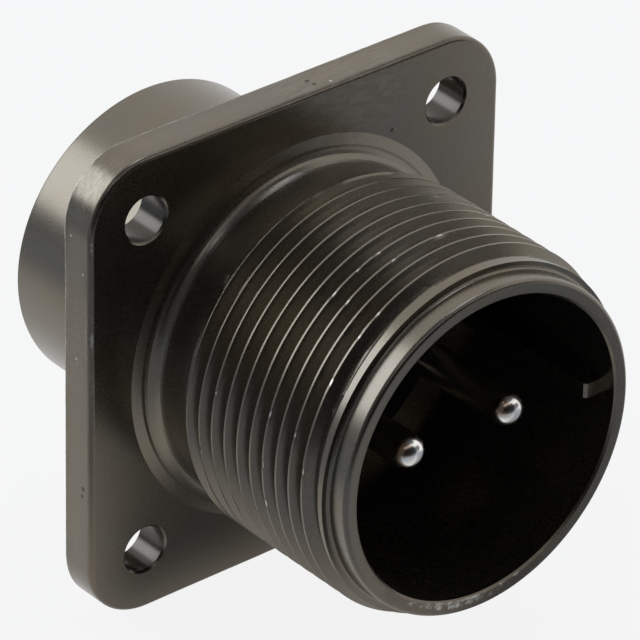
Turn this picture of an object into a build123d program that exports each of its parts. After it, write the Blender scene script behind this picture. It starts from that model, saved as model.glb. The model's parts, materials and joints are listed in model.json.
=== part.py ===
from build123d import *
import os
from math import radians, tan

os.makedirs("parts", exist_ok=True)

# Millimetres. The connector's axis runs along Y and the mating end faces -Y.
# The origin is on that axis, at the rear face of the square flange, and +Z is up.

# Square flange
FLANGE_SIDE = 33.55
FLANGE_THICK = 2.65
FLANGE_CORNER_R = 4.6
FLANGE_EDGE_R = 0.35
HOLE_SPACING = 24.61
HOLE_R = 1.6
HOLE_EDGE = 0.15

# Coupling thread, right hand, with 60 degree flanks
PITCH = 1.27
THREAD_R = 12.65
FLANK_DEG = 30
CREST_FLAT = PITCH / 8
ROOT_FLAT = PITCH / 6
THREAD_START = 4.3
GROOVE_LEAD = 0.47
GROOVE_TURNS = 11
GROOVE_EXIT = 0.3
TOOL_OVERCUT = 0.08

# Plain neck behind the thread, its foot fillet and the low boss on the flange
NECK_RELIEF = 0.12
NECK_FILLET_R = 1.05
BOSS_SLOPE = 0.7
BOSS_RISE = 0.2

# Front end: the thread's end turned down to a low land, plain pilot and rounded rim
FRONT_LENGTH = 19.05
LAND_BEVEL = 0.35
LAND_DROP = 0.45
LAND_LENGTH = 0.75
PILOT_RELIEF = 0.19
PILOT_LENGTH = 1.65
PILOT_FOOT_R = 0.25
RIM_EDGE_R = 0.3

# Front socket and the lip that the front insulator seats on
SOCKET_WALL = 1.07
SOCKET_DEPTH = 15.1
MOUTH_EDGE = 0.15
LIP_WIDTH = 0.55
LIP_THICK = 1.2
FACE_PROUD = 0.55

# Key inside the front socket, on the +X side
KEY_WIDTH = 1.05
KEY_HEIGHT = 1.3
KEY_SETBACK = 1.4
KEY_END_CUT = 0.2

# Plain rear barrel
REAR_R = 10.75
REAR_WALL = 1.3
REAR_LENGTH = 12.85
REAR_EDGE_R = 0.12
REAR_FOOT_R = 0.4
REAR_LEAD_IN = 0.35

# Rib at the bottom of the rear bore that stops the insulators turning
RIB_WIDTH = 1.6
RIB_HEIGHT = 0.45
RIB_LENGTH = 9.85

# Insulators
FRONT_INSULATOR_LENGTH = 5.8
REAR_INSULATOR_LENGTH = 7.4
INSULATOR_EDGE = 0.2
SLIDE_GAP = 0.05

# Contacts
PIN_R = 1.195
PIN_TIP_R = 1.1
PIN_SETBACK = 2.05
PIN_SPACING = 8.2
STEM_R = 1.55
STEM_PROUD = 0.25
SHANK_R = 1.85
SHOULDER_STEP = 0.35
SHOULDER_THICK = 1.0
CUP_WALL = 0.375
CUP_DEPTH = 6.0
CUP_SETBACK = 1.25
SCOOP_LENGTH = 3.8
SCOOP_SINK = 0.35

# Split spring ring that holds the insulators in
RING_THICK = 0.9
RING_WIDTH = 1.35
RING_GROOVE_DEPTH = 0.6
RING_GAP = 0.1
RING_SPLIT = 3.0

# Radii that follow from the sizes above
CREST_HALF = (PITCH - CREST_FLAT) / 2
ROOT_HALF = ROOT_FLAT / 2
ROOT_R = THREAD_R - (CREST_HALF - ROOT_HALF) / tan(radians(FLANK_DEG))
NECK_R = ROOT_R - NECK_RELIEF
BOSS_TOP_R = NECK_R + NECK_FILLET_R
BOSS_R = BOSS_TOP_R + BOSS_SLOPE
LAND_R = THREAD_R - LAND_DROP
PILOT_R = ROOT_R - PILOT_RELIEF
SOCKET_R = PILOT_R - SOCKET_WALL
REAR_BORE_R = REAR_R - REAR_WALL
LIP_R = REAR_BORE_R - LIP_WIDTH
RING_GROOVE_R = REAR_BORE_R + RING_GROOVE_DEPTH
RING_R = RING_GROOVE_R - RING_GAP
INSULATOR_R = REAR_BORE_R - SLIDE_GAP
NOSE_R = LIP_R - SLIDE_GAP
RIB_TOP_R = REAR_BORE_R - RIB_HEIGHT
RIB_FOOT_R = REAR_BORE_R + REAR_WALL / 2
NOTCH_TOP_R = RIB_TOP_R - SLIDE_GAP
KEY_TOP_R = SOCKET_R - KEY_HEIGHT
KEY_FOOT_R = SOCKET_R + SOCKET_WALL / 2
SHOULDER_R = SHANK_R + SHOULDER_STEP
CUP_R = SHANK_R - CUP_WALL

# Places along the axis, from the rim back to the open rear end
FRONT_Y = -FLANGE_THICK
RIM_Y = FRONT_Y - FRONT_LENGTH
PILOT_Y = RIM_Y + PILOT_LENGTH
LAND_Y = PILOT_Y + LAND_LENGTH
THREAD_END_Y = LAND_Y + LAND_BEVEL
THREAD_START_Y = FRONT_Y - THREAD_START
RAMP_Y = THREAD_START_Y + THREAD_R - NECK_R
GROOVE_START_Y = RAMP_Y + GROOVE_LEAD
BOSS_Y = FRONT_Y - BOSS_RISE
PIN_TIP_Y = RIM_Y + PIN_SETBACK
KEY_Y = RIM_Y + KEY_SETBACK
FACE_Y = RIM_Y + SOCKET_DEPTH
STEM_Y = FACE_Y - STEM_PROUD
FLOOR_Y = FACE_Y + FACE_PROUD
LIP_Y = FLOOR_Y + LIP_THICK
SPLIT_Y = FACE_Y + FRONT_INSULATOR_LENGTH
RING_Y = SPLIT_Y + REAR_INSULATOR_LENGTH
CUP_Y = REAR_LENGTH - CUP_SETBACK

# Seen from the front: local x is X, local y is Z, and out of the plane is -Y.
FRONT_VIEW = Plane(origin=(0, 0, 0), x_dir=(1, 0, 0), z_dir=(0, -1, 0))
# Half section below the axis, where the thread groove starts: local x is the radius.
GROOVE_SECTION = Plane(origin=(0, 0, 0), x_dir=(0, 0, -1), z_dir=(1, 0, 0))


def facing_front(y):
    """The front view plane moved to a place along the axis."""
    return FRONT_VIEW.offset(-y)


# Shell: one machined piece with its flange, threaded barrel, rear barrel, key and rib
with BuildPart() as shell:
    # Square flange with a rounded front edge and four screw holes
    with BuildSketch(FRONT_VIEW):
        RectangleRounded(FLANGE_SIDE, FLANGE_SIDE, FLANGE_CORNER_R)
    extrude(amount=FLANGE_THICK)
    fillet(shell.faces().sort_by(Axis.Y)[0].edges(), FLANGE_EDGE_R)
    with BuildSketch(FRONT_VIEW):
        with GridLocations(HOLE_SPACING, HOLE_SPACING, 2, 2):
            Circle(HOLE_R)
    extrude(amount=FLANGE_THICK, mode=Mode.SUBTRACT)
    hole_walls = shell.faces().filter_by(GeomType.CYLINDER).filter_by(lambda f: abs(f.radius - HOLE_R) < 1e-4)
    chamfer(hole_walls.edges().filter_by(GeomType.CIRCLE), HOLE_EDGE)

    # Turned outside, from the rear end round to the rim
    with BuildSketch(Plane.XY):
        with BuildLine():
            Line((0, REAR_LENGTH), (REAR_R - REAR_EDGE_R, REAR_LENGTH))
            JernArc((REAR_R - REAR_EDGE_R, REAR_LENGTH), (1, 0), REAR_EDGE_R, -90)
            Line((REAR_R, REAR_LENGTH - REAR_EDGE_R), (REAR_R, REAR_FOOT_R))
            JernArc((REAR_R, REAR_FOOT_R), (0, -1), REAR_FOOT_R, 90)
            Polyline(
                (REAR_R + REAR_FOOT_R, 0),
                (REAR_R + REAR_FOOT_R, FRONT_Y / 2),
                (BOSS_R, FRONT_Y / 2),
                (BOSS_R, FRONT_Y),
                (BOSS_TOP_R, BOSS_Y),
            )
            JernArc((BOSS_TOP_R, BOSS_Y), (-1, 0), NECK_FILLET_R, 90)
            Polyline(
                (NECK_R, BOSS_Y - NECK_FILLET_R),
                (NECK_R, RAMP_Y),
                (THREAD_R, THREAD_START_Y),
                (THREAD_R, THREAD_END_Y),
                (LAND_R, LAND_Y),
                (LAND_R, PILOT_Y),
                (PILOT_R + PILOT_FOOT_R, PILOT_Y),
            )
            JernArc((PILOT_R + PILOT_FOOT_R, PILOT_Y), (-1, 0), PILOT_FOOT_R, 90)
            Line((PILOT_R, PILOT_Y - PILOT_FOOT_R), (PILOT_R, RIM_Y + RIM_EDGE_R))
            JernArc((PILOT_R, RIM_Y + RIM_EDGE_R), (0, -1), RIM_EDGE_R, -90)
            Polyline((PILOT_R - RIM_EDGE_R, RIM_Y), (0, RIM_Y), (0, REAR_LENGTH))
        make_face()
    revolve(axis=Axis.Y)

    # Helical groove, cut a turn at a time. It starts over the neck, which lies below its root,
    # and its last part of a turn opens through the front of the land, low on the +X side.
    tool_half = CREST_HALF + TOOL_OVERCUT * tan(radians(FLANK_DEG))
    for turn in range(GROOVE_TURNS + 1):
        turn_y = GROOVE_START_Y - turn * PITCH
        rise = PITCH if turn < GROOVE_TURNS else PITCH * GROOVE_EXIT
        with BuildLine():
            Helix(pitch=PITCH, height=rise, radius=ROOT_R, center=(0, turn_y, 0), direction=(0, -1, 0))
        with BuildSketch(GROOVE_SECTION):
            with BuildLine():
                Polyline(
                    (ROOT_R, turn_y + ROOT_HALF),
                    (THREAD_R + TOOL_OVERCUT, turn_y + tool_half),
                    (THREAD_R + TOOL_OVERCUT, turn_y - tool_half),
                    (ROOT_R, turn_y - ROOT_HALF),
                    close=True,
                )
            make_face()
        sweep(is_frenet=True, mode=Mode.SUBTRACT)

    # Turned inside: socket, lip, rear bore and ring groove
    with BuildSketch(Plane.XY):
        with BuildLine():
            Polyline(
                (0, RIM_Y),
                (SOCKET_R + MOUTH_EDGE, RIM_Y),
                (SOCKET_R, RIM_Y + MOUTH_EDGE),
                (SOCKET_R, FLOOR_Y),
                (LIP_R, FLOOR_Y),
                (LIP_R, LIP_Y),
                (REAR_BORE_R, LIP_Y),
                (REAR_BORE_R, RING_Y - RING_GAP),
                (RING_GROOVE_R, RING_Y - RING_GAP),
                (RING_GROOVE_R, RING_Y + RING_THICK + RING_GAP),
                (REAR_BORE_R, RING_Y + RING_THICK + RING_GAP),
                (REAR_BORE_R, REAR_LENGTH - REAR_LEAD_IN),
                (REAR_BORE_R + REAR_LEAD_IN, REAR_LENGTH),
                (0, REAR_LENGTH),
                close=True,
            )
        make_face()
    revolve(axis=Axis.Y, mode=Mode.SUBTRACT)

    # Key on the wall of the socket, with its inner front edge cut off
    with BuildSketch(Plane.XY.offset(-KEY_WIDTH / 2)):
        with BuildLine():
            Polyline(
                (KEY_FOOT_R, KEY_Y),
                (KEY_TOP_R + KEY_END_CUT, KEY_Y),
                (KEY_TOP_R, KEY_Y + KEY_END_CUT),
                (KEY_TOP_R, FLOOR_Y),
                (KEY_FOOT_R, FLOOR_Y),
                close=True,
            )
        make_face()
    extrude(amount=KEY_WIDTH)

    # Rib along the bottom of the rear bore, from the lip back
    with BuildSketch(facing_front(LIP_Y + RIB_LENGTH)):
        with Locations((0, -(RIB_TOP_R + RIB_FOOT_R) / 2)):
            Rectangle(RIB_WIDTH, RIB_FOOT_R - RIB_TOP_R)
    extrude(amount=RIB_LENGTH)
shell.part.label = "shell"
export_step(shell.part, "parts/shell.step")

# Front insulator: moulded disc whose nose passes through the lip and whose rim seats on its back
with BuildPart() as front_insulator:
    with BuildSketch(Plane.XY):
        with BuildLine():
            Polyline(
                (0, FACE_Y),
                (NOSE_R - INSULATOR_EDGE, FACE_Y),
                (NOSE_R, FACE_Y + INSULATOR_EDGE),
                (NOSE_R, LIP_Y),
                (INSULATOR_R, LIP_Y),
                (INSULATOR_R, SPLIT_Y),
                (0, SPLIT_Y),
                close=True,
            )
        make_face()
    revolve(axis=Axis.Y)
    with BuildSketch(facing_front(SPLIT_Y)):
        with GridLocations(PIN_SPACING, 0, 2, 1):
            Circle(STEM_R + SLIDE_GAP)
    extrude(amount=FRONT_INSULATOR_LENGTH, mode=Mode.SUBTRACT)
    with BuildSketch(facing_front(SPLIT_Y)):
        with Locations((0, -(NOTCH_TOP_R + REAR_R) / 2)):
            Rectangle(RIB_WIDTH + 2 * SLIDE_GAP, REAR_R - NOTCH_TOP_R)
    extrude(amount=SPLIT_Y - LIP_Y, mode=Mode.SUBTRACT)
front_insulator.part.label = "front_insulator"
export_step(front_insulator.part, "parts/front_insulator.step")

# Rear insulator: traps the contact shoulders against the front insulator
with BuildPart() as rear_insulator:
    with BuildSketch(facing_front(RING_Y)):
        Circle(INSULATOR_R)
    extrude(amount=REAR_INSULATOR_LENGTH)
    chamfer(rear_insulator.faces().sort_by(Axis.Y)[-1].edges(), INSULATOR_EDGE)
    with BuildSketch(facing_front(RING_Y)):
        with GridLocations(PIN_SPACING, 0, 2, 1):
            Circle(SHANK_R + SLIDE_GAP)
        with Locations((0, -(NOTCH_TOP_R + REAR_R) / 2)):
            Rectangle(RIB_WIDTH + 2 * SLIDE_GAP, REAR_R - NOTCH_TOP_R)
    extrude(amount=REAR_INSULATOR_LENGTH, mode=Mode.SUBTRACT)
    with BuildSketch(facing_front(SPLIT_Y + SHOULDER_THICK + SLIDE_GAP)):
        with GridLocations(PIN_SPACING, 0, 2, 1):
            Circle(SHOULDER_R + SLIDE_GAP)
    extrude(amount=SHOULDER_THICK + SLIDE_GAP, mode=Mode.SUBTRACT)
rear_insulator.part.label = "rear_insulator"
export_step(rear_insulator.part, "parts/rear_insulator.step")

# Contacts: rounded pin on a thicker stem, trapped shoulder, shank and a solder cup with an open scoop
for name, x in (("contact_a", -PIN_SPACING / 2), ("contact_b", PIN_SPACING / 2)):
    with BuildPart() as contact:
        with BuildSketch(Plane(origin=(x, 0, 0))):
            with BuildLine():
                Line((0, PIN_TIP_Y), (PIN_R - PIN_TIP_R, PIN_TIP_Y))
                JernArc((PIN_R - PIN_TIP_R, PIN_TIP_Y), (1, 0), PIN_TIP_R, 90)
                Polyline(
                    (PIN_R, PIN_TIP_Y + PIN_TIP_R),
                    (PIN_R, STEM_Y),
                    (STEM_R, STEM_Y),
                    (STEM_R, SPLIT_Y),
                    (SHOULDER_R, SPLIT_Y),
                    (SHOULDER_R, SPLIT_Y + SHOULDER_THICK),
                    (SHANK_R, SPLIT_Y + SHOULDER_THICK),
                    (SHANK_R, CUP_Y),
                    (CUP_R, CUP_Y),
                    (CUP_R, CUP_Y - CUP_DEPTH),
                    (0, CUP_Y - CUP_DEPTH),
                    (0, PIN_TIP_Y),
                )
            make_face()
        revolve(axis=Axis((x, 0, 0), (0, 1, 0)))
        with BuildSketch(Plane(origin=(x, 0, 0), x_dir=(0, 1, 0), z_dir=(1, 0, 0))):
            with BuildLine():
                Polyline(
                    (CUP_Y - SCOOP_LENGTH, SHANK_R),
                    (CUP_Y - SCOOP_LENGTH + SHANK_R + SCOOP_SINK, -SCOOP_SINK),
                    (CUP_Y, -SCOOP_SINK),
                    (CUP_Y, SHANK_R),
                    close=True,
                )
            make_face()
        extrude(amount=SHANK_R, both=True, mode=Mode.SUBTRACT)
    contact.part.label = name
    export_step(contact.part, f"parts/{name}.step")

# Retaining ring: split at the top, in the groove behind the rear insulator
with BuildPart() as retaining_ring:
    with BuildSketch(facing_front(RING_Y + RING_THICK)):
        Circle(RING_R)
        Circle(RING_R - RING_WIDTH, mode=Mode.SUBTRACT)
        with Locations((0, RING_R)):
            Rectangle(RING_SPLIT, RING_R, mode=Mode.SUBTRACT)
    extrude(amount=RING_THICK)
retaining_ring.part.label = "retaining_ring"
export_step(retaining_ring.part, "parts/retaining_ring.step")
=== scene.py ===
import json
import random
from math import atan2, cos, degrees, pi, radians, sin, sqrt, tan

import bmesh
import bpy
from mathutils import Matrix, Vector, noise


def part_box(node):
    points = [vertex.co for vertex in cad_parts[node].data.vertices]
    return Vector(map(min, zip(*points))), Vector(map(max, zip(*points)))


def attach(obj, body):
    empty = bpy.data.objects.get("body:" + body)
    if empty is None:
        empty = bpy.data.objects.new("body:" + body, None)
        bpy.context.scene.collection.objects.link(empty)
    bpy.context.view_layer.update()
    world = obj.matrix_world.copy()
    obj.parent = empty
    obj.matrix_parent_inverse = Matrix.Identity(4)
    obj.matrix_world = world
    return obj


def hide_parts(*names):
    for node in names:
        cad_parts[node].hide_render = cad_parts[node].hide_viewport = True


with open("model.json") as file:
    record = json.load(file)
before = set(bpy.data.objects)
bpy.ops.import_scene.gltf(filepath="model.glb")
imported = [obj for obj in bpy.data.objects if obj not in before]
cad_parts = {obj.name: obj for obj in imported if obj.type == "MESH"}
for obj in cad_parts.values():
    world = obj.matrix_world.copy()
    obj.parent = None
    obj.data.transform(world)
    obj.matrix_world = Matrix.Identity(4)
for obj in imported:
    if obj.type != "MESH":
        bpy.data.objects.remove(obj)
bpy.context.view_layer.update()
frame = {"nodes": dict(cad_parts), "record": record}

random.seed(16)

# Metres, in the row frame: the axis runs along Y, the mating end faces -Y and +Z is up.
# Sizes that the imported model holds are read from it.
shell_low, shell_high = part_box("shell")
pin_low, pin_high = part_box("contact_b")
mounts = {m["name"]: m for m in frame["record"]["mounts"]}
MM = 0.001

# Square flange
FLANGE_HALF = shell_high[0]
FLANGE_THICK = 0.00265
FLANGE_CORNER_R = 0.0046
FLANGE_EDGE_R = 0.00035
FLANGE_BACK_R = 0.00012
HOLE_HALF_SPACING = mounts["flange_holes"]["dims"]["spacing_x_mm"] * MM / 2
HOLE_R = mounts["flange_holes"]["dims"]["hole_r_mm"] * MM
HOLE_EDGE = 0.00015

# Coupling thread
PITCH = 0.00127
THREAD_R = mounts["coupling_thread"]["dims"]["r_mm"] * MM
FLANK_DEG = 30
CREST_FLAT = PITCH / 8
ROOT_FLAT = PITCH / 6
CREST_ROUND = 0.000008
THREAD_START = 0.0043
GROOVE_LEAD = 0.00047
GROOVE_START_DEG = 270
GROOVE_TURNS = 11
GROOVE_EXIT = 0.3

# Neck, foot fillet and the low boss on the flange
NECK_RELIEF = 0.00012
NECK_FILLET_R = 0.00105
BOSS_SLOPE = 0.0007
BOSS_RISE = 0.0002

# Front end
LAND_BEVEL = 0.00035
LAND_DROP = 0.00045
LAND_LENGTH = 0.00075
PILOT_RELIEF = 0.00019
PILOT_LENGTH = 0.00165
PILOT_FOOT_R = 0.00025
RIM_EDGE_R = 0.0003

# Socket, lip and key
SOCKET_WALL = 0.00107
SOCKET_DEPTH = 0.0151
MOUTH_EDGE = 0.00015
LIP_WIDTH = 0.00055
LIP_THICK = 0.0012
FACE_PROUD = 0.00055
KEY_WIDTH = 0.00105
KEY_HEIGHT = 0.0013
KEY_SETBACK = 0.0014
KEY_END_CUT = 0.0002

# Rear barrel, with the ring groove and the rib in its bore
REAR_R = mounts["rear_barrel"]["dims"]["r_mm"] * MM
REAR_WALL = 0.0013
REAR_EDGE_R = 0.00012
REAR_FOOT_R = 0.0004
REAR_LEAD_IN = 0.00035
RING_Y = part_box("retaining_ring")[0][1]
RING_THICK = 0.0009
RING_GROOVE_DEPTH = 0.0006
RING_GAP = 0.0001
RIB_WIDTH = 0.0016
RIB_HEIGHT = 0.00045
RIB_LENGTH = 0.00985

# Contacts
PIN_R = mounts["pin_a"]["dims"]["r_mm"] * MM
PIN_TIP_R = 0.0011
PIN_HALF_SPACING = mounts["pin_b"]["pos_m"][0]
STEM_R = 0.00155
STEM_PROUD = 0.00025
SHANK_R = 0.00185
SHOULDER_R = 0.0022
SHOULDER_THICK = 0.001
CUP_R = mounts["solder_cup_a"]["dims"]["r_mm"] * MM
CUP_DEPTH = mounts["solder_cup_a"]["dims"]["length_mm"] * MM
SCOOP_LENGTH = 0.0038
SCOOP_SINK = 0.00035

# What follows from the sizes above
CREST_HALF = (PITCH - CREST_FLAT) / 2
ROOT_HALF = ROOT_FLAT / 2
ROOT_R = THREAD_R - (CREST_HALF - ROOT_HALF) / tan(radians(FLANK_DEG))
NECK_R = ROOT_R - NECK_RELIEF
BOSS_TOP_R = NECK_R + NECK_FILLET_R
BOSS_R = BOSS_TOP_R + BOSS_SLOPE
LAND_R = THREAD_R - LAND_DROP
PILOT_R = ROOT_R - PILOT_RELIEF
SOCKET_R = PILOT_R - SOCKET_WALL
REAR_BORE_R = REAR_R - REAR_WALL
LIP_R = REAR_BORE_R - LIP_WIDTH
RING_GROOVE_R = REAR_BORE_R + RING_GROOVE_DEPTH
FRONT_Y = -FLANGE_THICK
RIM_Y = shell_low[1]
REAR_Y = shell_high[1]
PILOT_Y = RIM_Y + PILOT_LENGTH
LAND_Y = PILOT_Y + LAND_LENGTH
THREAD_END_Y = LAND_Y + LAND_BEVEL
THREAD_START_Y = FRONT_Y - THREAD_START
RAMP_Y = THREAD_START_Y + THREAD_R - NECK_R
GROOVE_START_Y = RAMP_Y + GROOVE_LEAD
BOSS_Y = FRONT_Y - BOSS_RISE
FACE_Y = RIM_Y + SOCKET_DEPTH
FLOOR_Y = FACE_Y + FACE_PROUD
LIP_Y = FLOOR_Y + LIP_THICK
SPLIT_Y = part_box("front_insulator")[1][1]
KEY_Y = RIM_Y + KEY_SETBACK
KEY_TOP_R = SOCKET_R - KEY_HEIGHT

# Mesh density: steps round each loop, and the rows along a surface as shares of its length
COLUMNS = 288
CORNER_STEPS = 28
SIDE_STEPS = 44
HOLE_STEPS = 48
PIN_STEPS = 64
ARC_STEP_DEG = 12
FLANK_ROWS = (0.0, 0.35, 0.7, 0.9, 1.0)
CREST_ROWS = (0.4, 1.0)
HOLE_ROWS = (0.15, 0.4, 0.7, 1.0)

# Rows close to a corner, which keep its shading crisp, and the shortest segment that gets them
SUPPORT = 0.00003
SUPPORTED_LENGTH = 5 * SUPPORT
SCOOP_SUPPORT = 0.0002
SCOOP_CORNER_RAD = 0.001
SHARP_DEG = 38

# Wear at the vertices, from 0 on fresh plating to 1 on bare metal. Its lower values also set the darker
# brown that is painted shade on edges
CREST_WEAR = 0.1
CREST_SHARPNESS = 8
FACE_EDGE_WEAR = 0.1
HOLE_WEAR = 0.3
BACK_EDGE_WEAR = 0.75
FRONT_EDGE_WEAR = 0.2
FRONT_EDGE_RUB = 0.35
KEY_WEAR = 0.15
RING_GROOVE_WEAR = 0.1
REAR_BORE_WEAR = 0.2
REAR_MOUTH_WEAR = 0.35
REAR_EDGE_WEAR = 0.3
REAR_WEAR = (0.1, 0.05)

# Rows along the flange's side, from back to front: share of its thickness, and wear
SIDE_ROWS = ((0.02, 0.2), (0.15, 0.2), (0.5, 0.1), (0.85, 0.2), (0.98, 0.2))

# Share of painted shade, a darker tone, on the walls of the screw holes
HOLE_WALL_SHADE_SHARE = 0.8

# Uneven edges of the flange: how far they wander, the noise's scale and the wear on what stands out
BACK_BURR = 0.00002
FRONT_BURR = 0.00001
BURR_SCALE = 700
BURR_WEAR = 0.4

# Wear on the rim, as what is everywhere and what is added at the bottom, where the part has stood
RIM_OUTER_WEAR = (0.12, 0.35)
RIM_FACE_WEAR = (0.1, 0.78)
MOUTH_FACE_WEAR = (0.25, 0.60)
MOUTH_WALL_WEAR = (0.25, 0.2)
STOOD_DEG = 258
STOOD_SPREAD_DEG = 38
STOOD_FALL = 0.4

# Flecks in the rim's wear: noise per degree, its step from one row of the rim to another, how much
# of the added wear is even and how much varies with them, and what they add all round
RIM_FLECK_SCALE = 0.35
RIM_FLECK_STEP = 9
STOOD_EVEN = 0.9
STOOD_FLECKS = 0.5
RIM_FLECKS = 0.12

# Dents in the crests: angle in degrees, distance in front of the flange's front face and reach along
# the crest in degrees. These are where the photograph shows them.
DENT_DEPTH = 0.00004
DENT_WIDTH = 0.45 * PITCH
CREST_DENTS = [
    (123.2, 0.01195, 1.6),
    (123.1, 0.0132, 1.6),
    (121.3, 0.01588, 2.0),
    (129.6, 0.01596, 1.5),
    (144.5, 0.01601, 2.0),
    (105.3, 0.01205, 1.8),
    (113.2, 0.01201, 1.6),
    (104.5, 0.0132, 1.6),
    (87.2, 0.01343, 2.4),
]

# More dents on the sides that the photograph doesn't show, at random
RANDOM_DENTS = 26
RANDOM_DENT_DEG = (160, 440)
RANDOM_DENT_FORWARD = (0.005, 0.016)
RANDOM_DENT_REACH = (1.0, 2.5)
for _ in range(RANDOM_DENTS):
    angle = random.uniform(*RANDOM_DENT_DEG) % 360
    CREST_DENTS.append((angle, random.uniform(*RANDOM_DENT_FORWARD), random.uniform(*RANDOM_DENT_REACH)))


# Helpers for points, loops of vertices and objects

def on_circle(r, y, angle, centre=(0.0, 0.0)):
    """The point at an angle in radians on a circle round a line along Y, by default the axis."""
    return (centre[0] + r * cos(angle), y, centre[1] + r * sin(angle))


def arc(centre, radius, start_deg, end_deg):
    """Points (radius from the axis, y) along an arc, both ends included."""
    steps = max(2, round(abs(end_deg - start_deg) / ARC_STEP_DEG))
    angles = [radians(start_deg + (end_deg - start_deg) * i / steps) for i in range(steps + 1)]
    return [(centre[0] + radius * cos(a), centre[1] + radius * sin(a)) for a in angles]


def add_face(bm, verts):
    """A face through these vertices, less those that repeat."""
    corners = []
    for v in verts:
        if v not in corners:
            corners.append(v)
    if len(corners) > 2:
        bm.faces.new(corners)


def bridge(bm, first, second):
    """Joins two closed loops of as many vertices with a band of faces."""
    for i in range(len(first)):
        j = (i + 1) % len(first)
        add_face(bm, (first[i], first[j], second[j], second[i]))


def bridge_all(bm, loops):
    """Joins each loop with the next."""
    for first, second in zip(loops, loops[1:]):
        bridge(bm, first, second)


def fill(bm, loops):
    """Fills the flat region that these closed loops bound."""
    edges = []
    for loop in loops:
        for i, v in enumerate(loop):
            w = loop[(i + 1) % len(loop)]
            edges.append(bm.edges.get((v, w)) or bm.edges.new((v, w)))
    bmesh.ops.triangle_fill(bm, use_beauty=True, use_dissolve=False, edges=edges)


def add_object(name, data):
    """An object in the scene that shows this data."""
    made = bpy.data.objects.new(name, data)
    bpy.context.scene.collection.objects.link(made)
    return made


def finish_mesh(bm, name):
    """Turns the bmesh into a smooth-shaded object that rides on the root body."""
    bmesh.ops.recalc_face_normals(bm, faces=bm.faces)
    mesh = bpy.data.meshes.new(name)
    bm.to_mesh(mesh)
    bm.free()
    mesh.shade_smooth()
    mesh.set_sharp_from_angle(angle=radians(SHARP_DEG))
    piece = add_object(name, mesh)
    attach(piece, "root")
    return piece


# Shell: flange, thread, turned surfaces, key and rib, with values for the material at each vertex

shell_bm = bmesh.new()
wear_layer = shell_bm.verts.layers.float.new("wear")
hole_shade_layer = shell_bm.verts.layers.float.new("hole_shade")


def vertex(co, wear=0.0, hole_shade=0.0):
    """A vertex of the shell, with its wear and its share of painted shade on the holes' walls."""
    v = shell_bm.verts.new(co)
    v[wear_layer] = wear
    v[hole_shade_layer] = hole_shade
    return v


def turned_loop(r, y, wear=0.0):
    """A circle of vertices round the axis. wear is a number or a function of the angle in degrees."""
    loop = []
    for i in range(COLUMNS):
        a = 2 * pi * i / COLUMNS
        w = wear(degrees(a)) if callable(wear) else wear
        loop.append(vertex(on_circle(r, y, a), w))
    return loop


def supported(points):
    """Adds a point close to each end of every long segment. A wear value stays at its own corner."""
    dense = [points[0]]
    for (r1, y1, w1), (r2, y2, w2) in zip(points, points[1:]):
        length = sqrt((r2 - r1) ** 2 + (y2 - y1) ** 2)
        if length > SUPPORTED_LENGTH:
            t = SUPPORT / length
            near, far = w1, w2
            if not callable(w1) and not callable(w2):
                near = far = min(w1, w2)
            dense.append((r1 + (r2 - r1) * t, y1 + (y2 - y1) * t, near))
            dense.append((r2 - (r2 - r1) * t, y2 - (y2 - y1) * t, far))
        dense.append((r2, y2, w2))
    return dense


def turned(points, first=None, last=None):
    """Bands of faces through (r, y, wear) points, joined to given loops. Returns the last loop."""
    loops = [] if first is None else [first]
    loops += [turned_loop(r, y, w) for r, y, w in supported(points)]
    if last is not None:
        loops.append(last)
    bridge_all(shell_bm, loops)
    return loops[-1]


def blank_r(y):
    """Radius of the turned blank that the thread is cut in."""
    if y > RAMP_Y:
        return NECK_R
    if y > THREAD_START_Y:
        return NECK_R + (RAMP_Y - y)
    if y > THREAD_END_Y:
        return THREAD_R
    if y > LAND_Y:
        return THREAD_R - LAND_DROP * (THREAD_END_Y - y) / LAND_BEVEL
    return LAND_R


def thread_r(offset):
    """Radius of the thread at a distance along the axis from the middle of its groove."""
    d = abs(offset)
    if d <= ROOT_HALF:
        return ROOT_R
    if d >= CREST_HALF:
        edge = min(1.0, (d - CREST_HALF) / (PITCH / 2 - CREST_HALF))
        return THREAD_R - CREST_ROUND * (1 - edge) ** 2
    return ROOT_R + (THREAD_R - CREST_ROUND - ROOT_R) * (d - ROOT_HALF) / (CREST_HALF - ROOT_HALF)


def barrel_r(turn_part, y):
    """Radius of the threaded barrel, with turn_part the fraction of a turn past the groove's start."""
    groove = round((GROOVE_START_Y - y) / PITCH - turn_part)
    blank = blank_r(y)
    if groove < 0 or groove + turn_part > GROOVE_TURNS + GROOVE_EXIT:
        return blank
    return min(blank, thread_r(GROOVE_START_Y - (groove + turn_part) * PITCH - y))


def dent(angle_deg, y):
    """How deep a vertex of the crest lies in one of the dents, from 0 to 1."""
    deepest = 0.0
    for at, forward, reach in CREST_DENTS:
        off = abs((angle_deg - at + 180) % 360 - 180) / reach
        along = abs(FRONT_Y - y - forward) / DENT_WIDTH
        if off < 1 and along < 1:
            deepest = max(deepest, 1 - off * off)
    return deepest


# Distances from the groove's middle of the rows across one pitch, closest at the crest
half_rows = [0.0]
half_rows += [ROOT_HALF + (CREST_HALF - ROOT_HALF) * t for t in FLANK_ROWS]
half_rows += [CREST_HALF + (PITCH / 2 - CREST_HALF) * t for t in CREST_ROWS]
pitch_rows = half_rows + [PITCH - d for d in reversed(half_rows[1:-1])]


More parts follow.
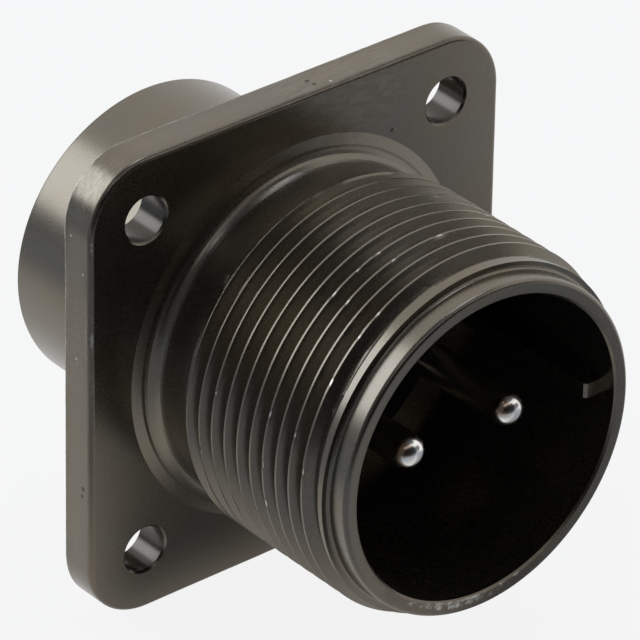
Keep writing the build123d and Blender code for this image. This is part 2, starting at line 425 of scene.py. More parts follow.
def thread_heights(turn_part, y_top, y_bottom):
    """Heights of one column's rows. They follow the helix, with a row on each corner of the blank."""
    # With turns to spare, so that each column's first and last rows lie beyond the stretch
    turns = int((y_top - y_bottom) / PITCH) + 3
    heights = []
    for turn in range(turns):
        heights += [GROOVE_START_Y + (1 - turn_part - turn) * PITCH - offset for offset in pitch_rows]
    kept = [min(max(y, y_bottom), y_top) for y in heights]
    for corner in (RAMP_Y, THREAD_START_Y, THREAD_END_Y, LAND_Y):
        # Of the rows that end up at one height, the innermost moves, so that no face folds over.
        nearest = min(range(len(kept)), key=lambda i: (abs(kept[i] - corner), abs(heights[i] - corner)))
        kept[nearest] = corner
    return kept


def thread_column(turn_part, angle, y_top, y_bottom):
    """The vertices of one column. Its rows at the top share one vertex, and so do those at the bottom."""
    column = []
    ends = {}
    for y in thread_heights(turn_part, y_top, y_bottom):
        r = barrel_r(turn_part, y)
        high = CREST_SHARPNESS * (r - LAND_R) / (THREAD_R - LAND_R) - (CREST_SHARPNESS - 1)
        high = min(1.0, max(0.0, high))
        dented = dent(degrees(angle), y) * high
        r -= dented * DENT_DEPTH
        if y in (y_top, y_bottom):
            if y not in ends:
                ends[y] = vertex(on_circle(r, y, angle))
            column.append(ends[y])
        else:
            column.append(vertex(on_circle(r, y, angle), CREST_WEAR * high + (1 - CREST_WEAR) * dented))
    return column


def build_thread(y_top, y_bottom):
    """The threaded stretch between two heights. Returns its end loops."""
    start = round(GROOVE_START_DEG / 360 * COLUMNS)
    columns = []
    for step in range(COLUMNS):
        angle = 2 * pi * ((start + step) % COLUMNS) / COLUMNS
        columns.append(thread_column(step / COLUMNS, angle, y_top, y_bottom))
    for step in range(COLUMNS):
        here, there = columns[step], columns[(step + 1) % COLUMNS]
        if step + 1 == COLUMNS:
            # The rows have moved on by a pitch where one turn passes into the next.
            there = there[len(pitch_rows):]
        for i in range(min(len(here), len(there)) - 1):
            add_face(shell_bm, (here[i], here[i + 1], there[i + 1], there[i]))
    ends = []
    for end in (0, -1):
        loop = [column[end] for column in columns]
        ends.append(loop[COLUMNS - start:] + loop[:COLUMNS - start])
    return ends


def rounded_square(inset, y, wear=0.0, burr=0.0):
    """A loop of the flange's outline, moved inwards by inset and made uneven by up to burr."""
    half, radius = FLANGE_HALF - inset, FLANGE_CORNER_R - inset
    middle = half - radius
    points = []
    for quarter in range(4):
        turn = radians(90 * quarter)
        corner = Vector((middle, middle))
        for i in range(CORNER_STEPS + 1):
            a = radians(90) * i / CORNER_STEPS
            points.append((corner + radius * Vector((cos(a), sin(a))), turn))
        for i in range(1, SIDE_STEPS):
            points.append((Vector((middle - 2 * middle * i / SIDE_STEPS, half)), turn))
    loop = []
    for p, turn in points:
        x = p.x * cos(turn) - p.y * sin(turn)
        z = p.x * sin(turn) + p.y * cos(turn)
        w = wear
        if burr:
            lift = noise.noise(Vector((x, y, z)) * BURR_SCALE)
            x *= 1 + lift * burr / FLANGE_HALF
            z *= 1 + lift * burr / FLANGE_HALF
            w += max(0.0, lift) * BURR_WEAR
        loop.append(vertex((x, y, z), w))
    return loop


def hole_loop(centre, r, y, wear=0.0, hole_shade=0.0):
    """A circle of vertices round a screw hole."""
    angles = [2 * pi * i / HOLE_STEPS for i in range(HOLE_STEPS)]
    return [vertex(on_circle(r, y, a, centre), wear, hole_shade) for a in angles]


def screw_hole(centre):
    """A through hole with both its edges chamfered. Returns its front and back loops."""
    wall_start, wall_end = FRONT_Y + HOLE_EDGE, -HOLE_EDGE
    mouth_r = HOLE_R + HOLE_EDGE
    loops = [
        hole_loop(centre, mouth_r + SUPPORT, FRONT_Y),
        hole_loop(centre, mouth_r, FRONT_Y, FACE_EDGE_WEAR),
        hole_loop(centre, HOLE_R, wall_start, HOLE_WEAR, HOLE_WALL_SHADE_SHARE),
    ]
    for t in HOLE_ROWS:
        y = wall_start + (wall_end - wall_start) * t
        loops.append(hole_loop(centre, HOLE_R, y, HOLE_WEAR, HOLE_WALL_SHADE_SHARE))
    loops.append(hole_loop(centre, mouth_r, 0.0, HOLE_WEAR))
    loops.append(hole_loop(centre, mouth_r + SUPPORT, 0.0))
    bridge_all(shell_bm, loops)
    return loops[0], loops[-1]


# Flange: sharp back edge, sides, rounded front edge and four screw holes
edge_loops = [
    rounded_square(FLANGE_BACK_R + SUPPORT, 0.0),
    rounded_square(FLANGE_BACK_R, 0.0, FACE_EDGE_WEAR),
]
for r, y in arc((0, -FLANGE_BACK_R), FLANGE_BACK_R, 90, 0)[1:]:
    edge_loops.append(rounded_square(FLANGE_BACK_R - r, y, BACK_EDGE_WEAR, burr=BACK_BURR))
side_end = FRONT_Y + FLANGE_EDGE_R
for t, side_wear in SIDE_ROWS:
    edge_loops.append(rounded_square(0.0, -FLANGE_BACK_R + (side_end + FLANGE_BACK_R) * t, side_wear))
for r, y in arc((0, side_end), FLANGE_EDGE_R, 0, -90):
    middle_of_edge = 1 - abs(2 * (r / FLANGE_EDGE_R) - 1)
    edge_wear = FRONT_EDGE_WEAR + FRONT_EDGE_RUB * middle_of_edge
    edge_loops.append(rounded_square(FLANGE_EDGE_R - r, y, edge_wear, burr=FRONT_BURR))
edge_loops.append(rounded_square(FLANGE_EDGE_R + SUPPORT, FRONT_Y, FACE_EDGE_WEAR))
bridge_all(shell_bm, edge_loops)

front_holes, back_holes = [], []
for hole_x in (-HOLE_HALF_SPACING, HOLE_HALF_SPACING):
    for hole_z in (-HOLE_HALF_SPACING, HOLE_HALF_SPACING):
        front_loop, back_loop = screw_hole((hole_x, hole_z))
        front_holes.append(front_loop)
        back_holes.append(back_loop)

# Boss, fillet and neck, up to the thread
fillet_y = BOSS_Y - NECK_FILLET_R
boss_foot = turned_loop(BOSS_R + SUPPORT, FRONT_Y)
neck_points = [(BOSS_R, FRONT_Y, 0.0)]
neck_points += [(r, y, 0.0) for r, y in arc((BOSS_TOP_R, fillet_y), NECK_FILLET_R, 90, 180)]
neck_points.append((NECK_R, 0.5 * (fillet_y + RAMP_Y), 0.0))
thread_top, thread_bottom = build_thread(RAMP_Y + 2 * SUPPORT, PILOT_Y)
turned(neck_points, first=boss_foot, last=thread_top)


def rim_wear(base, extra):
    """Wear along the rim with flecks in it, heaviest at the bottom, as a function of the angle."""
    def at(angle):
        low = max(0.0, 1 - abs(angle - STOOD_DEG) / STOOD_SPREAD_DEG) ** STOOD_FALL
        fleck = noise.noise(Vector((angle * RIM_FLECK_SCALE, base * RIM_FLECK_STEP, 0.0)))
        stood = extra * low * (STOOD_EVEN + STOOD_FLECKS * fleck)
        return base + stood + RIM_FLECKS * max(0.0, fleck)
    return at


# Pilot, rim, socket, lip and the bores behind it, round to the rear barrel
pilot_foot = arc((PILOT_R + PILOT_FOOT_R, PILOT_Y - PILOT_FOOT_R), PILOT_FOOT_R, 90, 180)
rim_edge = arc((PILOT_R - RIM_EDGE_R, RIM_Y + RIM_EDGE_R), RIM_EDGE_R, 0, -90)
rear_edge = arc((REAR_R - REAR_EDGE_R, REAR_Y - REAR_EDGE_R), REAR_EDGE_R, 90, 0)
rear_foot = arc((REAR_R + REAR_FOOT_R, REAR_FOOT_R), REAR_FOOT_R, 180, 270)
ring_front, ring_back = RING_Y - RING_GAP, RING_Y + RING_THICK + RING_GAP
inner = [(r, y, 0.0) for r, y in pilot_foot]
inner += [(r, y, rim_wear(*RIM_OUTER_WEAR)) for r, y in rim_edge]
inner += [
    (0.5 * (PILOT_R - RIM_EDGE_R + SOCKET_R + MOUTH_EDGE), RIM_Y, rim_wear(*RIM_FACE_WEAR)),
    (SOCKET_R + MOUTH_EDGE, RIM_Y, rim_wear(*MOUTH_FACE_WEAR)),
    (SOCKET_R, RIM_Y + MOUTH_EDGE, rim_wear(*MOUTH_WALL_WEAR)),
    (SOCKET_R, RIM_Y + 4 * MOUTH_EDGE, 0.0),
    (SOCKET_R, 0.5 * (RIM_Y + FLOOR_Y), 0.0),
    (SOCKET_R, FLOOR_Y, 0.0),
    (LIP_R, FLOOR_Y, 0.0),
    (LIP_R, LIP_Y, 0.0),
    (REAR_BORE_R, LIP_Y, 0.0),
    (REAR_BORE_R, ring_front, 0.0),
    (RING_GROOVE_R, ring_front, 0.0),
    (RING_GROOVE_R, ring_back, 0.0),
    (REAR_BORE_R, ring_back, RING_GROOVE_WEAR),
    (REAR_BORE_R, REAR_Y - REAR_LEAD_IN, REAR_BORE_WEAR),
    (REAR_BORE_R + REAR_LEAD_IN, REAR_Y, REAR_MOUTH_WEAR),
]
inner += [(r, y, REAR_EDGE_WEAR) for r, y in rear_edge]
inner += [
    (REAR_R, REAR_Y - 2 * REAR_EDGE_R, REAR_WEAR[0]),
    (REAR_R, 0.5 * REAR_Y, REAR_WEAR[1]),
]
inner += [(r, y, 0.0) for r, y in rear_foot]
rear_foot_loop = turned(inner, first=thread_bottom)

# Flat front and back of the flange
fill(shell_bm, [edge_loops[-1], boss_foot] + front_holes)
fill(shell_bm, [edge_loops[0], rear_foot_loop] + back_holes)


def prism(profile, width, place):
    """A closed prism: profile points run round it, and place turns (point, height) into a position."""
    ends = [[vertex(place(p, h), KEY_WEAR) for p in profile] for h in (-width / 2, width / 2)]
    bridge(shell_bm, ends[0], ends[1])
    for end in ends:
        shell_bm.faces.new(end)


# The key in the socket and the rib in the rear bore, both with their feet inside the wall
key_foot = SOCKET_R + SOCKET_WALL / 2
key_profile = [
    (key_foot, KEY_Y),
    (KEY_TOP_R + KEY_END_CUT, KEY_Y),
    (KEY_TOP_R, KEY_Y + KEY_END_CUT),
    (KEY_TOP_R, FLOOR_Y),
    (key_foot, FLOOR_Y),
]
prism(key_profile, KEY_WIDTH, lambda p, h: (p[0], p[1], h))

rib_foot, rib_top = REAR_BORE_R + REAR_WALL / 2, REAR_BORE_R - RIB_HEIGHT
rib_end = LIP_Y + RIB_LENGTH
rib_profile = [(rib_foot, LIP_Y), (rib_top, LIP_Y), (rib_top, rib_end), (rib_foot, rib_end)]
prism(rib_profile, RIB_WIDTH, lambda p, h: (h, p[1], -p[0]))

shell = finish_mesh(shell_bm, "machined_shell")
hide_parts("shell")


# Contacts: a rounded pin, stem, shoulder, shank and a scooped solder cup, as one turned piece

def contact_piece(name, x):
    """A contact whose axis is at x."""
    bm = bmesh.new()
    tip_y, cup_end = pin_low[1], pin_high[1]
    stem_y = FACE_Y - STEM_PROUD
    shoulder_end = SPLIT_Y + SHOULDER_THICK
    scoop_y = cup_end - SCOOP_LENGTH
    sink_angle = atan2(-SCOOP_SINK, sqrt(SHANK_R ** 2 - SCOOP_SINK ** 2))
    corner_steps = (-SCOOP_CORNER_RAD, SCOOP_CORNER_RAD)
    angles = [2 * pi * i / PIN_STEPS for i in range(PIN_STEPS)]
    angles += [sink_angle + s for s in corner_steps]
    angles += [pi - sink_angle + s for s in corner_steps]
    angles = sorted(a % (2 * pi) for a in angles)

    def loop(r, y):
        """A circle of vertices round the contact's axis."""
        return [bm.verts.new(on_circle(r, y, a, (x, 0.0))) for a in angles]

    def scooped(r):
        """The cup's end, where the slanting scoop has cut its upper side away."""
        verts = []
        for a in angles:
            y = cup_end
            if sin(a) > sin(sink_angle):
                y = min(cup_end, scoop_y + SHANK_R - SHANK_R * sin(a))
            verts.append(bm.verts.new(on_circle(r, y, a, (x, 0.0))))
        return verts

    profile = arc((PIN_R - PIN_TIP_R, tip_y + PIN_TIP_R), PIN_TIP_R, -90, 0)
    profile += [
        (PIN_R, 0.5 * (tip_y + stem_y)),
        (PIN_R, stem_y),
        (STEM_R, stem_y),
        (STEM_R, SPLIT_Y),
        (SHOULDER_R, SPLIT_Y),
        (SHOULDER_R, shoulder_end),
        (SHANK_R, shoulder_end),
        (SHANK_R, scoop_y - SCOOP_SUPPORT),
    ]
    loops = [loop(r, y) for r, y in profile]
    loops += [scooped(SHANK_R), scooped(CUP_R)]
    loops += [loop(CUP_R, scoop_y - SCOOP_SUPPORT), loop(CUP_R, cup_end - CUP_DEPTH)]
    bridge_all(bm, loops)
    bm.faces.new(loops[0])
    bm.faces.new(loops[-1])
    piece = finish_mesh(bm, name)
    return piece


contacts = []
for name, node, x in (
    ("pin_contact_a", "contact_a", -PIN_HALF_SPACING),
    ("pin_contact_b", "contact_b", PIN_HALF_SPACING),
):
    piece = contact_piece(name, x)
    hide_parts(node)
    contacts.append(piece)


# Materials

class Nodes:
    """A node tree with short ways to add and join nodes."""

    def __init__(self, tree):
        self.tree = tree
        tree.nodes.clear()

    def add(self, kind, **settings):
        """A new node with these settings."""
        node = self.tree.nodes.new(kind)
        for key, value in settings.items():
            setattr(node, key, value)
        return node

    def put(self, value, socket):
        """Links an output to the socket, or sets the socket's own value."""
        if isinstance(value, bpy.types.NodeSocket):
            self.tree.links.new(value, socket)
        else:
            socket.default_value = value

    def math(self, operation, *values, clamp=False):
        """One step of arithmetic."""
        node = self.add("ShaderNodeMath", operation=operation, use_clamp=clamp)
        for value, socket in zip(values, node.inputs):
            self.put(value, socket)
        return node.outputs[0]

    def scaled(self, share, low, span):
        """low where share is 0, and low + span where it is 1."""
        return self.math("ADD", low, self.math("MULTIPLY", share, span))

    def remap(self, value, low, high, to_low=0.0, to_high=1.0):
        """A smooth step between two values."""
        node = self.add("ShaderNodeMapRange", interpolation_type="SMOOTHSTEP")
        for v, socket in zip((value, low, high, to_low, to_high), node.inputs):
            self.put(v, socket)
        return node.outputs[0]

    def mix(self, factor, first, second):
        """A colour between two."""
        node = self.add("ShaderNodeMix", data_type="RGBA")
        self.put(factor, node.inputs["Factor"])
        self.put(first, node.inputs["A"])
        self.put(second, node.inputs["B"])
        return node.outputs["Result"]

    def noise(self, vector, scale, detail=2.0, rough=0.5):
        """Noise from 0 to 1."""
        node = self.add("ShaderNodeTexNoise")
        self.put(vector, node.inputs["Vector"])
        self.put(scale, node.inputs["Scale"])
        self.put(detail, node.inputs["Detail"])
        self.put(rough, node.inputs["Roughness"])
        return node.outputs["Fac"]

    def spot(self, position, centre, reach):
        """1 within half its reach of a place on the surface, falling softly to 0 at its reach."""
        apart = self.add("ShaderNodeVectorMath", operation="DISTANCE")
        self.put(position, apart.inputs[0])
        self.put(centre, apart.inputs[1])
        return self.remap(apart.outputs["Value"], reach, 0.5 * reach)

    def stretch(self, position, factors):
        """A position with each of its parts multiplied by its own factor."""
        node = self.add("ShaderNodeVectorMath", operation="MULTIPLY")
        self.put(position, node.inputs[0])
        self.put(factors, node.inputs[1])
        return node.outputs["Vector"]

    def split(self, position):
        """The x, y and z of a position."""
        node = self.add("ShaderNodeSeparateXYZ")
        self.put(position, node.inputs[0])
        return node.outputs

    def combine(self, x, y, z):
        """A vector from three numbers."""
        node = self.add("ShaderNodeCombineXYZ")
        for v, socket in zip((x, y, z), node.inputs):
            self.put(v, socket)
        return node.outputs[0]

    def place(self):
        """The position on the object, in metres."""
        return self.add("ShaderNodeTexCoord").outputs["Object"]

    def mix_shaders(self, factor, first, second):
        """A shader between two."""
        node = self.add("ShaderNodeMixShader")
        self.put(factor, node.inputs[0])
        self.put(first, node.inputs[1])
        self.put(second, node.inputs[2])
        return node.outputs[0]

    def surface(self, shader, kind="ShaderNodeOutputMaterial"):
        """Makes this shader the one that is seen."""
        self.put(shader, self.add(kind).inputs["Surface"])


def new_material(name):
    """A material with one Principled shader. Returns it with its nodes, shader and position."""
    material = bpy.data.materials.new(name)
    material.use_nodes = True
    nodes = Nodes(material.node_tree)
    shader = nodes.add("ShaderNodeBsdfPrincipled")
    nodes.surface(shader.outputs[0])
    return material, nodes, shader, nodes.place()


# How fine the lathe marks are: along a mark per radian, and across it per metre
MARKS_ROUND = 1.5
MARKS_ACROSS = 9000.0


def turning_marks(nodes, position):
    """Noise drawn out round the axis, like the marks of a lathe tool."""
    x, y, z = nodes.split(position)
    across = nodes.math("ADD", nodes.math("MULTIPLY", x, x), nodes.math("MULTIPLY", z, z))
    radius = nodes.math("SQRT", across)
    angle = nodes.math("ARCTAN2", z, x)
    vector = nodes.combine(
        nodes.math("MULTIPLY", angle, MARKS_ROUND),
        nodes.math("MULTIPLY", y, MARKS_ACROSS),
        nodes.math("MULTIPLY", radius, MARKS_ACROSS),
    )
    return nodes.noise(vector, 1.0, 3.0, 0.6)


def bump(nodes, shader, height, strength, distance):
    """Fine relief from a height between 0 and 1."""
    node = nodes.add("ShaderNodeBump")
    nodes.put(strength, node.inputs["Strength"])
    nodes.put(distance, node.inputs["Distance"])
    nodes.put(height, node.inputs["Height"])
    nodes.put(node.outputs[0], shader.inputs["Normal"])


# Dark olive plating over aluminium, rubbed to brighter metal on crests and edges, with a darker brown on
# worn edges that is also painted shade, and a painted highlight on the flange's top-left corner
PLATING = (0.170, 0.153, 0.125, 1.0)
PLATING_WARM = (0.174, 0.150, 0.114, 1.0)
DARK_SPOT = (0.06, 0.05, 0.04, 1.0)
# Brown of worn plating, which on the rounded edges also stands in for painted shade
BROWN_WEAR_AND_EDGE_SHADE = (0.140, 0.119, 0.092, 1.0)
# Pale rubbed metal, also the colour of the painted highlight on the top-left corner
RUBBED_METAL_AND_HIGHLIGHT = (0.50, 0.48, 0.44, 1.0)
# Painted shade for the walls of the screw holes
HOLE_WALL_SHADE = (0.058, 0.054, 0.051, 1.0)
PLATING_METALLIC = 0.9

# Roughness of the plating: its least, and what its grain and its cast add
PLATING_ROUGHNESS = 0.19
GRAIN_ROUGHNESS = 0.10
CAST_ROUGHNESS = 0.05

# Scales of the noise in the plating: its cast, its grain and the flecks at the edge of worn metal
CAST_SCALE = 160.0
GRAIN_SCALE = 5200.0
FLECK_SCALE = 3000.0

# Where the plating goes from one look to another: the cast's noise, the wear that turns it brown and
# paints shade on edges, the wear with flecks that bares the metal, and the brush strokes' noise
CAST_BAND = (0.35, 0.65)
BROWN_WEAR_AND_SHADE_BAND = (0.05, 0.45)
BARE_BAND = (0.62, 1.0)
BARE_FLECKS = 0.9
STREAK_BAND = (0.42, 0.62)

# Brushed patches, the one on the flange's top-left corner a painted highlight: place in metres, reach and
# strength
SCUFFS_AND_CORNER_HIGHLIGHT = [
    ((-0.0155, -0.0014, 0.0155), 0.0030, 0.10),
    ((-0.0168, -0.0014, 0.004), 0.005, 0.07),
    ((0.004, -0.0013, 0.0168), 0.007, 0.08),
]
SCUFF_STRETCH = (900.0, 5200.0, 2600.0)

# Small marks that the photograph shows: place in metres and reach
PALE_SPOTS = [
    ((-0.01195, -0.00265, 0.01094), 0.00016),
    ((-0.016775, -0.0007, 0.0119), 0.00011),
    ((-0.016775, -0.0019, 0.0096), 0.0001),
    ((0.0030, -0.0021, 0.016775), 0.00012),
    ((-0.016775, -0.0012, 0.0031), 0.0001),
]
DARK_SPOTS = [
    ((0.00776, -0.00265, 0.01176), 0.00018),
    ((-0.016775, -0.0019, -0.0063), 0.00022),
    ((-0.016775, -0.0018, -0.0069), 0.00018),
    ((0.0018, -0.0012, 0.016775), 0.00022),
    ((0.0019, -0.0018, 0.016775), 0.0002),
]


def plating_look():
    """The shell's plating. It reads the wear and the painted shade on the holes' walls from the vertices.
    """
    material, n, shader, position = new_material("plated_shell_look")
    wear = n.add("ShaderNodeAttribute", attribute_name="wear").outputs["Fac"]
    hole_shade = n.add("ShaderNodeAttribute", attribute_name="hole_shade").outputs["Fac"]
    cast = n.noise(position, CAST_SCALE, detail=3.0, rough=0.55)
    grain = n.noise(position, GRAIN_SCALE, detail=4.0, rough=0.65)
    flecks = n.noise(position, FLECK_SCALE, detail=5.0, rough=0.7)
    uneven_wear = n.math("ADD", wear, n.math("MULTIPLY", n.math("SUBTRACT", flecks, 0.5), BARE_FLECKS))
    colour = n.mix(n.remap(cast, *CAST_BAND), PLATING, PLATING_WARM)
    # Brown where there is wear: worn plating, and painted shade on the rounded edges
    colour = n.mix(n.remap(wear, *BROWN_WEAR_AND_SHADE_BAND), colour, BROWN_WEAR_AND_EDGE_SHADE)
    streaks = n.noise(n.stretch(position, SCUFF_STRETCH), 1.0, detail=3.0, rough=0.6)
    # Pale brushed patches; the one on the top-left corner is a painted highlight
    for centre, reach, strength in SCUFFS_AND_CORNER_HIGHLIGHT:
        brushed_and_highlight = n.remap(streaks, *STREAK_BAND, to_high=strength)
        colour = n.mix(n.math("MULTIPLY", n.spot(position, centre, reach), brushed_and_highlight), colour, RUBBED_METAL_AND_HIGHLIGHT)
    colour = n.mix(n.remap(uneven_wear, *BARE_BAND), colour, RUBBED_METAL_AND_HIGHLIGHT)
    # Painted shade on the walls of the screw holes
    colour = n.mix(hole_shade, colour, HOLE_WALL_SHADE)
    for spots, tint in ((PALE_SPOTS, RUBBED_METAL_AND_HIGHLIGHT), (DARK_SPOTS, DARK_SPOT)):
        for centre, reach in spots:
            colour = n.mix(n.spot(position, centre, reach), colour, tint)
    n.put(colour, shader.inputs["Base Color"])
    shader.inputs["Metallic"].default_value = PLATING_METALLIC
    rough = n.scaled(grain, PLATING_ROUGHNESS, GRAIN_ROUGHNESS)
    rough = n.math("ADD", rough, n.math("MULTIPLY", cast, CAST_ROUGHNESS))
    n.put(rough, shader.inputs["Roughness"])
    marks = turning_marks(n, position)
    height = n.math("ADD", n.math("MULTIPLY", grain, 0.5), n.math("MULTIPLY", marks, 0.5))
    bump(n, shader, height, strength=0.35, distance=0.00001)
    return material


# Silver plating on the contacts with a warm tarnish, and a painted brown reflection on each tip
SILVER = (0.88, 0.86, 0.82, 1.0)
TARNISH = (0.74, 0.66, 0.56, 1.0)
TARNISH_BAND = (0.45, 0.7)
TIP_PAINTED_REFLECTION = (0.42, 0.31, 0.23, 1.0)
TIP_REFLECTION_REACH = 0.0008
TIP_REFLECTION_OFFSET = (-0.0008, 0.0006, 0.0006)


def silver_look():
    """The contacts' plating, with a painted reflection on each tip."""
    material, n, shader, position = new_material("contact_plating_look")
    tarnish = n.noise(position, scale=900.0, detail=4.0, rough=0.6)
    colour = n.mix(n.remap(tarnish, *TARNISH_BAND), SILVER, TARNISH)
    # A painted dark brown reflection on the front of each tip
    for tip_x in (-PIN_HALF_SPACING, PIN_HALF_SPACING):
        centre = (tip_x + TIP_REFLECTION_OFFSET[0], pin_low[1] + TIP_REFLECTION_OFFSET[1], TIP_REFLECTION_OFFSET[2])
        colour = n.mix(n.spot(position, centre, TIP_REFLECTION_REACH), colour, TIP_PAINTED_REFLECTION)
    n.put(colour, shader.inputs["Base Color"])
    shader.inputs["Metallic"].default_value = 1.0
    haze = n.noise(position, scale=5000.0, detail=3.0)
    n.put(n.scaled(haze, low=0.14, span=0.12), shader.inputs["Roughness"])
    grain = n.noise(position, scale=4000.0, detail=3.0)
    bump(n, shader, grain, strength=0.1, distance=0.000005)
    return material


# Black moulding of the insulators, and the ring's spring steel, each between two tones
BLACK = (0.012, 0.012, 0.012, 1.0)
BLACK_PALE = (0.022, 0.021, 0.020, 1.0)
STEEL = (0.40, 0.39, 0.37, 1.0)
STEEL_PALE = (0.52, 0.51, 0.49, 1.0)


def insulator_look():
    """Matte black moulded plastic."""
    material, n, shader, position = new_material("insulator_look")
    shader.inputs["Specular IOR Level"].default_value = 0.2
    cast = n.noise(position, scale=700.0, detail=3.0)
    n.put(n.mix(cast, BLACK, BLACK_PALE), shader.inputs["Base Color"])
    haze = n.noise(position, scale=3000.0, detail=3.0)
    n.put(n.scaled(haze, low=0.42, span=0.2), shader.inputs["Roughness"])
    grain = n.noise(position, scale=6000.0, detail=4.0)
    bump(n, shader, grain, strength=0.3, distance=0.00001)
    return material


def ring_look():
    """Plain spring steel."""
    material, n, shader, position = new_material("spring_steel_look")
    cast = n.noise(position, scale=900.0, detail=3.0)
    n.put(n.mix(cast, STEEL, STEEL_PALE), shader.inputs["Base Color"])
    shader.inputs["Metallic"].default_value = 1.0
    n.put(n.scaled(turning_marks(n, position), low=0.28, span=0.2), shader.inputs["Roughness"])
    grain = n.noise(position, scale=5000.0, detail=3.0)
    bump(n, shader, grain, strength=0.2, distance=0.00001)
    return material


def repaint(node, material):
    """Gives every material slot of a CAD node this material."""
    for slot in frame["nodes"][node].material_slots:
        slot.material = material


shell.data.materials.append(plating_look())
silver = silver_look()
for piece in contacts:
    piece.data.materials.append(silver)
black = insulator_look()
for node in ("front_insulator", "rear_insulator"):
    repaint(node, black)
repaint("retaining_ring", ring_look())


# Floor: nearly plain white to the camera, and a soft grey-blue where only light falls on it

FLOOR_HALF = 4.0
FLOOR_COLOUR = (0.63, 0.68, 0.74, 1.0)
floor_z = shell_low[2]

# Share of plain white, with 1 no shadow at all, to the camera and in reflections
CAMERA_WHITE = 0.88
MIRROR_WHITE = 0.95

# A painted shadow of the object, which only reflections see: a slanting strip in front of the flange.
# Each pair is where it fades from nothing to full, in metres across the strip or along Y.
SHADOW_DEPTH = 0.88
SHADOW_SLANT = 0.765
SHADOW_SIDE = (0.022, 0.014)
SHADOW_BACK = (0.002, -0.008)
SHADOW_FRONT = (-0.085, -0.060)

# Painted shade on the floor's left side and near left corner, which only reflections see: fade in metres
# and its darkest
LEFT_FADE = (-0.060, -0.028)
LEFT_DARKEST = 0.1
CORNER_SLANT = 0.8
CORNER_FADE = (-0.050, -0.018)
CORNER_DARKEST = 0.15


def reflected_floor(n):
    """How bright reflections see the floor, from 0 to 1, by the place on it, with the painted shadow and
    shade.
    """
    x, y, _ = n.split(n.place())
    across = n.math("ABSOLUTE", n.math("ADD", x, n.math("MULTIPLY", y, SHADOW_SLANT)))
    shadow = n.math("MULTIPLY", n.remap(across, *SHADOW_SIDE), n.remap(y, *SHADOW_BACK))
    shadow = n.math("MULTIPLY", shadow, n.remap(y, *SHADOW_FRONT))
    lit = n.math("SUBTRACT", 1.0, n.math("MULTIPLY", shadow, SHADOW_DEPTH))
    lit = n.math("MULTIPLY", lit, n.remap(x, *LEFT_FADE, LEFT_DARKEST, 1.0))
    near_left = n.math("ADD", y, n.math("MULTIPLY", x, CORNER_SLANT))
    return n.math("MULTIPLY", lit, n.remap(near_left, *CORNER_FADE, CORNER_DARKEST, 1.0))


def floor_look():
    """A mix of a plain floor, which takes the shadow, and a white that needs no lamp and carries a
    painted shadow in reflections.
    """
    material = bpy.data.materials.new("floor_look")
    material.use_nodes = True
    n = Nodes(material.node_tree)
    diffuse = n.add("ShaderNodeBsdfDiffuse")
    diffuse.inputs["Color"].default_value = FLOOR_COLOUR
    white = n.add("ShaderNodeEmission")
    white.inputs["Strength"].default_value = 1.0
    rays = n.add("ShaderNodeLightPath").outputs
    mirrored = n.math("ADD", rays["Is Glossy Ray"], rays["Is Transmission Ray"], clamp=True)
    mirrored = n.math("MULTIPLY", mirrored, n.math("MULTIPLY", reflected_floor(n), MIRROR_WHITE))
    seen = n.math("MULTIPLY", rays["Is Camera Ray"], CAMERA_WHITE)
    seen = n.math("ADD", seen, mirrored, clamp=True)
    n.surface(n.mix_shaders(seen, diffuse.outputs[0], white.outputs[0]))
    return material


def flat_object(name, corners, material):
    """One flat face of the stage."""
    mesh = bpy.data.meshes.new(name)
    mesh.from_pydata(corners, [], [(0, 1, 2, 3)])
    mesh.materials.append(material)
    sheet = add_object(name, mesh)
    return sheet


def level(plan, height):
    """Corners of a flat face above four places of the floor plan."""
    return [(x, y, height) for x, y in plan]


def upright(start, end, low, high):
    """Corners of a flat face that stands over a line of the floor plan."""
    return [(*start, low), (*end, low), (*end, high), (*start, high)]


floor_plan = [
    (-FLOOR_HALF, -FLOOR_HALF),
    (FLOOR_HALF, -FLOOR_HALF),
    (FLOOR_HALF, FLOOR_HALF),
    (-FLOOR_HALF, FLOOR_HALF),
]
flat_object("floor", level(floor_plan, floor_z), floor_look())


# World: white where the camera or a reflection sees it, and half that where it only gives light
WORLD_LIGHT = 0.5

world = bpy.data.worlds.new("studio")
bpy.context.scene.world = world
world.use_nodes = True
n = Nodes(world.node_tree)
rays = n.add("ShaderNodeLightPath").outputs
sees_white = n.math("ADD", rays["Is Camera Ray"], rays["Is Glossy Ray"], clamp=True)
sees_white = n.math("ADD", sees_white, rays["Is Transmission Ray"], clamp=True)
soft = n.add("ShaderNodeBackground")
soft.inputs["Strength"].default_value = WORLD_LIGHT
bright = n.add("ShaderNodeBackground")
bright.inputs["Color"].default_value = (1.0, 1.0, 1.0, 1.0)
bright.inputs["Strength"].default_value = 1.0
n.surface(n.mix_shaders(sees_white, soft.outputs[0], bright.outputs[0]), "ShaderNodeOutputWorld")


# Lamps: direction from the object, diameter in metres, radiance and tint
LAMP_DISTANCE = 0.8
COOL = (0.90, 0.97, 1.08)
COLD = (0.88, 0.96, 1.16)
LAMPS = {
    "key_softbox": ((-0.545, 0.654, 0.523), 0.56, 2.75, COOL),
    "overhead_softbox": ((0.29, 0.09, 0.95), 0.36, 3.0, COLD),
    "small_softbox": ((-0.50, -0.235, 0.834), 0.09, 5.0, COOL),
}


def softbox(name, direction, size, radiance, tint):
    """A round lamp that faces the object. A radiance of 1 looks white in a mirror."""
    area = pi * size ** 2 / 4
    data = bpy.data.lights.new(name, "AREA")
    data.shape = "DISK"
    data.size = size
    data.energy = radiance * pi * area
    data.color = tint
    lamp = add_object(name, data)
    away = Vector(direction).normalized()
    lamp.location = away * LAMP_DISTANCE
    lamp.rotation_mode = "QUATERNION"
    lamp.rotation_quaternion = away.to_track_quat("Z", "Y")


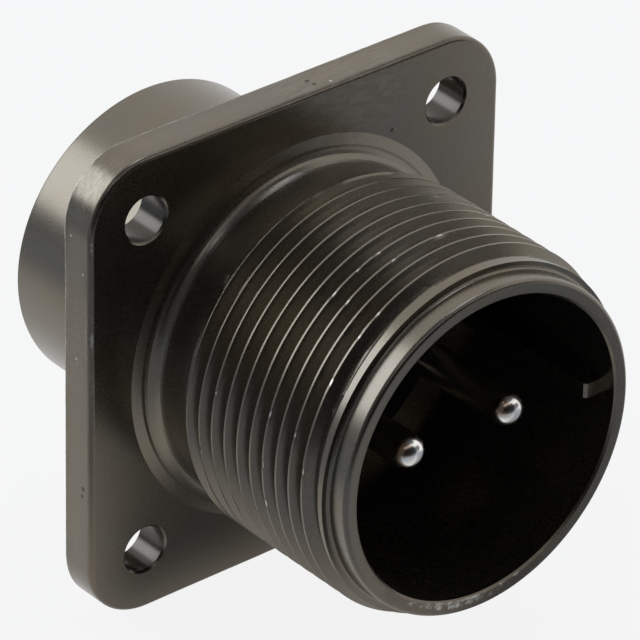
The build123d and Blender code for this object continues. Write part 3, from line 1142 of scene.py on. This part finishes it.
for name, settings in LAMPS.items():
    softbox(name, *settings)


# Cards that only reflections and soft light see: the room on the camera's side and on the left, its
# ceiling, a dark sheet on the floor in front and a pale card behind on the left
ROOM_FRONT = -1.0
ROOM_LEFT = -1.0
ROOM_HEIGHT = 1.0
ROOM_LEFT_BACK = 0.35
DARK_LEFT = -1.8
DARK_RIGHT = 0.5
DARK_HEIGHT = 0.55
UPPER_RIGHT = 0.45
UPPER_HEIGHT = 0.85
PALE_RIGHT = 1.6
CEILING_PLAN = [(ROOM_LEFT, -0.75), (0.75, -0.75), (0.75, 0.40), (ROOM_LEFT, 0.40)]
FRONT_SHEET_PLAN = [(-0.9, ROOM_FRONT), (0.55, ROOM_FRONT), (0.03, -0.08), (-0.4, -0.08)]
FRONT_SHEET_LIFT = 0.001
BACK_START = (-0.62, 0.30)
BACK_END = (-0.30, 0.62)
BACK_HEIGHT = 0.12

dark_start, dark_end = (DARK_LEFT, ROOM_FRONT), (DARK_RIGHT, ROOM_FRONT)
upper_end, pale_end = (UPPER_RIGHT, ROOM_FRONT), (PALE_RIGHT, ROOM_FRONT)
left_start, left_end = (ROOM_LEFT, ROOM_FRONT), (ROOM_LEFT, ROOM_LEFT_BACK)

# Name, corners and grey of each card
cards = [
    ("room_low", upright(dark_start, dark_end, floor_z, DARK_HEIGHT), 0.07),
    ("room_right", upright(dark_end, pale_end, floor_z, DARK_HEIGHT), 0.5),
    ("room_left", upright(left_start, left_end, floor_z, ROOM_HEIGHT), 0.6),
    ("ceiling", level(CEILING_PLAN, ROOM_HEIGHT), 0.55),
    ("room_high", upright(dark_start, upper_end, DARK_HEIGHT, UPPER_HEIGHT), 0.12),
    ("front_floor_sheet", level(FRONT_SHEET_PLAN, floor_z + FRONT_SHEET_LIFT), 0.12),
    ("back_left", upright(BACK_START, BACK_END, floor_z, BACK_HEIGHT), 0.75),
]
for name, corners, grey in cards:
    look = bpy.data.materials.new(name + "_look")
    look.use_nodes = True
    n = Nodes(look.node_tree)
    cloth = n.add("ShaderNodeBsdfDiffuse")
    cloth.inputs["Color"].default_value = (grey, grey, grey, 1.0)
    n.surface(cloth.outputs[0])
    card = flat_object(name, corners, look)
    card.visible_camera = False


# Camera, fitted to the photograph: direction from the object, roll, distance and aim
CAMERA_AZIMUTH = -40.06
CAMERA_ELEVATION = 31.238
CAMERA_ROLL = -1.072
CAMERA_DISTANCE = 0.45588
CAMERA_AIM = (-0.001557, -0.000334)
CAMERA_LENS = 397.93
CAMERA_SENSOR = 36.0
CAMERA_CLIP = (0.02, 20.0)

az, el, roll = radians(CAMERA_AZIMUTH), radians(CAMERA_ELEVATION), radians(CAMERA_ROLL)
back = Vector((sin(az) * cos(el), -cos(az) * cos(el), sin(el)))
right = Vector((0, 0, 1)).cross(back).normalized()
up = back.cross(right)
right, up = cos(roll) * right - sin(roll) * up, sin(roll) * right + cos(roll) * up
camera_data = bpy.data.cameras.new("camera")
camera_data.lens = CAMERA_LENS
camera_data.sensor_width = CAMERA_SENSOR
camera_data.clip_start, camera_data.clip_end = CAMERA_CLIP
camera = add_object("camera", camera_data)
target = Vector((0, FRONT_Y, 0))
place = target - CAMERA_AIM[0] * right - CAMERA_AIM[1] * up + CAMERA_DISTANCE * back
camera.matrix_world = Matrix.Translation(place) @ Matrix((right, up, back)).transposed().to_4x4()
bpy.context.scene.camera = camera
bpy.context.scene.view_settings.view_transform = "Standard"
